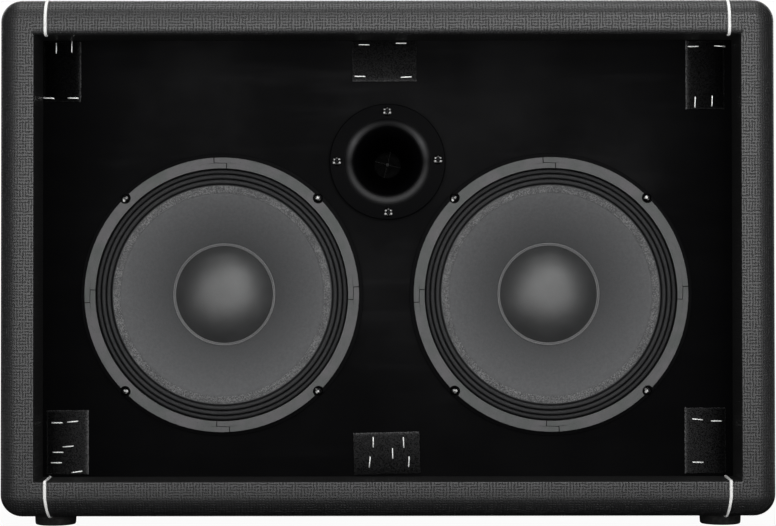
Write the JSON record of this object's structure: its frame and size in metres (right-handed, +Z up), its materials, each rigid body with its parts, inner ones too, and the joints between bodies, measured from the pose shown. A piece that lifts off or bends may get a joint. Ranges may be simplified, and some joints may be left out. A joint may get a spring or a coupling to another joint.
{
  "type": "bass speaker cabinet",
  "caption": "Vinyl-covered bass speaker cabinet with its grille off: woofers and a round horn on a recessed black baffle, white piping, rubber feet, side handles and a rear jack plate.",
  "frame": {"origin": "on the floor under the middle of the cabinet's bounding box", "axes": "+Z up, -Y out of the cabinet's front, +X to the right as seen from the front"},
  "size_m": [0.7136, 0.403, 0.4835],
  "materials": {
    "plywood": "bare birch plywood",
    "black_paint": "plywood, matt black paint",
    "back_vinyl": "plywood faced with black vinyl",
    "vinyl": "grained black vinyl on cloth",
    "piping": "satin white plastic",
    "foot_rubber": "matt black",
    "hook_tape": "black hook tape",
    "basket_steel": "satin black",
    "gasket": "grey pressed felt",
    "surround_cloth": "doped cloth",
    "cone_paper": "grey pressed paper",
    "cap_paper": "doped paper",
    "spider_cloth": "resin-dipped cloth",
    "voice_coil": "copper winding on an aluminium former",
    "ferrite": "dark grey ceramic",
    "plated_steel": "zinc plated",
    "screw_steel": "black oxide",
    "horn_plastic": "satin black",
    "driver_metal": "dark grey",
    "plate_steel": "black powder coat",
    "nickel": "nickel plated",
    "knob_plastic": "satin black",
    "handle_plastic": "grained black",
    "circuit_board": "green board with wound parts",
    "lead_sleeve": "black sleeve"
  },
  "bodies": {
    "cabinet": {"top_panel": "plywood", "bottom_panel": "plywood", "left_side_panel": "plywood", "right_side_panel": "plywood", "front_frame": "plywood", "baffle_board": "black_paint", "back_panel": "back_vinyl", "vinyl_covering": "vinyl", "piping_top_left": "piping", "piping_top_right": "piping", "piping_bottom_left": "piping", "piping_bottom_right": "piping", "front_left_foot": "foot_rubber", "front_right_foot": "foot_rubber", "rear_left_foot": "foot_rubber", "rear_right_foot": "foot_rubber", "top_left_hook_tape": "hook_tape", "top_centre_hook_tape": "hook_tape", "top_right_hook_tape": "hook_tape", "bottom_left_hook_tape": "hook_tape", "bottom_centre_hook_tape": "hook_tape", "bottom_right_hook_tape": "hook_tape", "left_basket": "basket_steel", "left_gasket": "gasket", "left_surround": "surround_cloth", "left_spider": "spider_cloth", "left_magnet": "ferrite", "left_yoke": "plated_steel", "left_woofer_screw_1": "screw_steel", "left_woofer_screw_2": "screw_steel", "left_woofer_screw_3": "screw_steel", "left_woofer_screw_4": "screw_steel", "right_basket": "basket_steel", "right_gasket": "gasket", "right_surround": "surround_cloth", "right_spider": "spider_cloth", "right_magnet": "ferrite", "right_yoke": "plated_steel", "right_woofer_screw_1": "screw_steel", "right_woofer_screw_2": "screw_steel", "right_woofer_screw_3": "screw_steel", "right_woofer_screw_4": "screw_steel", "horn": "horn_plastic", "horn_driver": "driver_metal", "jack_plate": "plate_steel", "input_jack": "nickel", "link_jack": "nickel", "attenuator": "plated_steel", "left_handle": "handle_plastic", "right_handle": "handle_plastic", "crossover": "circuit_board", "input_lead": "lead_sleeve"},
    "left_cone_assembly": {"left_cone": "cone_paper", "left_dust_cap": "cap_paper", "left_voice_coil": "voice_coil"},
    "right_cone_assembly": {"right_cone": "cone_paper", "right_dust_cap": "cap_paper", "right_voice_coil": "voice_coil"},
    "knob_assembly": {"attenuator_shaft": "nickel", "attenuator_knob": "knob_plastic"}
  },
  "joints": [
    {"name": "left_cone_travel", "type": "slide", "parent": "cabinet", "child": "left_cone_assembly", "axis": [0, -1, 0], "range_m": [-0.005, 0.005], "stiffness_N_per_m": 2000, "deforming": ["left_surround", "left_spider"]},
    {"name": "right_cone_travel", "type": "slide", "parent": "cabinet", "child": "right_cone_assembly", "axis": [0, -1, 0], "range_m": [-0.005, 0.005], "stiffness_N_per_m": 2000, "deforming": ["right_surround", "right_spider"]},
    {"name": "attenuator_knob_turn", "type": "hinge", "parent": "cabinet", "child": "knob_assembly", "pos_m": [0.034, 0.1863, 0.266], "axis": [0, 1, 0], "range_deg": [-150, 150]}
  ]
}
